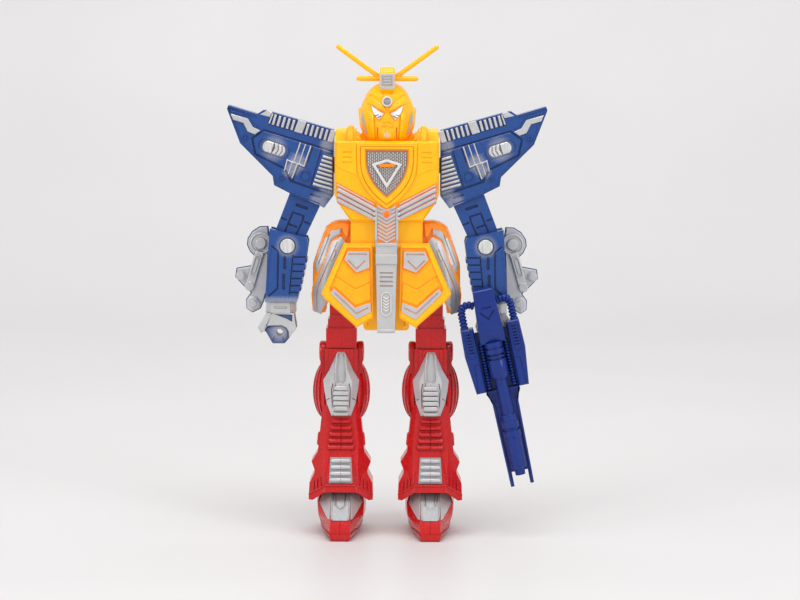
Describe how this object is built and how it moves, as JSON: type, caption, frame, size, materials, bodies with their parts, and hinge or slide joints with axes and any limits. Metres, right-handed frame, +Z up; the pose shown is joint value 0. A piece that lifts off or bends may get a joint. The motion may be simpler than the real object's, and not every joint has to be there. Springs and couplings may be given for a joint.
{
  "type": "robot action figure",
  "caption": "Standing toy robot figure with turning head, swinging arms and legs, bending elbows and knees, and a blaster held in one fist.",
  "frame": {"origin": "on the floor, under the middle of the whole figure's bounding box", "axes": "+Z up, -Y is the way the figure faces, +X is the figure's left side"},
  "size_m": [0.1594, 0.048, 0.2463],
  "materials": {
    "yellow_plastic": "glossy, slightly translucent yellow moulding with orange shading in its recesses",
    "blue_plastic": "semi-gloss blue moulding with silver paint on its raised details",
    "violet_blue_plastic": "semi-gloss blue, slightly more violet, unpainted",
    "red_plastic": "glossy red moulding with silver paint on its raised details",
    "silver_paint": "satin silver paint over plastic, worn at the edges",
    "steel": "plated steel",
    "cell_steel": "polished steel can",
    "circuit_board": "green lacquered board",
    "orange_lens": "translucent orange lens",
    "black_plastic": "black switch knob"
  },
  "bodies": {
    "torso": {"torso_front_shell": "yellow_plastic", "torso_back_shell": "yellow_plastic", "torso_screws": "steel", "battery_door": "yellow_plastic", "battery_door_screw": "steel", "chest_lamp": "orange_lens", "lamp_board": "circuit_board", "button_cells": "cell_steel", "battery_contacts": "steel", "front_skirt": "yellow_plastic", "back_skirt": "yellow_plastic", "left_side_skirt": "yellow_plastic", "right_side_skirt": "yellow_plastic", "pelvis_block": "yellow_plastic", "hip_axle": "red_plastic"},
    "switch": {"power_switch_knob": "black_plastic"},
    "head": {"head_front_shell": "yellow_plastic", "head_back_shell": "yellow_plastic", "forehead_lamp": "silver_paint", "neck_post": "yellow_plastic", "antenna_crest": "yellow_plastic"},
    "blaster": {"blaster_frame": "violet_blue_plastic", "blaster_barrel": "violet_blue_plastic", "blaster_hoses": "violet_blue_plastic"},
    "left_arm": {"left_shoulder_front": "blue_plastic", "left_shoulder_back": "blue_plastic", "left_shoulder_axle": "blue_plastic", "left_shoulder_screws": "steel"},
    "left_forearm": {"left_forearm_front": "blue_plastic", "left_forearm_back": "blue_plastic", "left_elbow_pin": "silver_paint", "left_forearm_screw": "steel", "left_side_bracket": "silver_paint"},
    "left_hand": {"left_fist": "silver_paint"},
    "left_thigh": {"left_thigh_outer": "red_plastic", "left_thigh_inner": "red_plastic"},
    "left_shin": {"left_shin_outer": "red_plastic", "left_shin_inner": "red_plastic", "left_knee_pin": "steel", "left_shin_screws": "steel", "left_foot": "red_plastic"},
    "right_arm": {"right_shoulder_front": "blue_plastic", "right_shoulder_back": "blue_plastic", "right_shoulder_axle": "blue_plastic", "right_shoulder_screws": "steel"},
    "right_forearm": {"right_forearm_front": "blue_plastic", "right_forearm_back": "blue_plastic", "right_elbow_pin": "silver_paint", "right_forearm_screw": "steel", "right_side_bracket": "silver_paint"},
    "right_hand": {"right_fist": "silver_paint"},
    "right_thigh": {"right_thigh_outer": "red_plastic", "right_thigh_inner": "red_plastic"},
    "right_shin": {"right_shin_outer": "red_plastic", "right_shin_inner": "red_plastic", "right_knee_pin": "steel", "right_shin_screws": "steel", "right_foot": "red_plastic"}
  },
  "joints": [
    {"name": "head_turn", "type": "hinge", "parent": "torso", "child": "head", "pos_m": [0, 0.005, 0.197], "axis": [0, 0, 1], "range_deg": [-75, 75]},
    {"name": "switch_slide", "type": "slide", "parent": "torso", "child": "switch", "axis": [1, 0, 0], "range_m": [0, 0.003]},
    {"name": "left_shoulder_swing", "type": "hinge", "parent": "torso", "child": "left_arm", "pos_m": [0.026, 0.005, 0.186], "axis": [-1, 0, 0], "continuous": true},
    {"name": "left_elbow_bend", "type": "hinge", "parent": "left_arm", "child": "left_forearm", "pos_m": [0.0495, 0.005, 0.1458], "axis": [0, -1, 0], "range_deg": [0, 90]},
    {"name": "left_wrist_turn", "type": "hinge", "parent": "left_forearm", "child": "left_hand", "pos_m": [0.0531, 0.005, 0.1176], "axis": [0, 0, 1], "range_deg": [-6, 6]},
    {"name": "left_hip_swing", "type": "hinge", "parent": "torso", "child": "left_thigh", "pos_m": [0.0225, 0.005, 0.128], "axis": [-1, 0, 0], "range_deg": [-15, 18]},
    {"name": "left_knee_bend", "type": "hinge", "parent": "left_thigh", "child": "left_shin", "pos_m": [0.0225, 0.005, 0.0918], "axis": [1, 0, 0], "range_deg": [0, 60]},
    {"name": "right_shoulder_swing", "type": "hinge", "parent": "torso", "child": "right_arm", "pos_m": [-0.026, 0.005, 0.186], "axis": [-1, 0, 0], "continuous": true},
    {"name": "right_elbow_bend", "type": "hinge", "parent": "right_arm", "child": "right_forearm", "pos_m": [-0.0495, 0.005, 0.1458], "axis": [0, 1, 0], "range_deg": [0, 90]},
    {"name": "right_wrist_turn", "type": "hinge", "parent": "right_forearm", "child": "right_hand", "pos_m": [-0.0531, 0.005, 0.1176], "axis": [0, 0, 1], "range_deg": [-90, 90]},
    {"name": "right_hip_swing", "type": "hinge", "parent": "torso", "child": "right_thigh", "pos_m": [-0.0225, 0.005, 0.128], "axis": [-1, 0, 0], "range_deg": [-15, 18]},
    {"name": "right_knee_bend", "type": "hinge", "parent": "right_thigh", "child": "right_shin", "pos_m": [-0.0225, 0.005, 0.0918], "axis": [1, 0, 0], "range_deg": [0, 60]},
    {"name": "blaster_swivel", "type": "hinge", "parent": "left_hand", "child": "blaster", "pos_m": [0.0537, 0.005, 0.1019], "axis": [0, -1, 0], "range_deg": [-10, 30]}
  ]
}
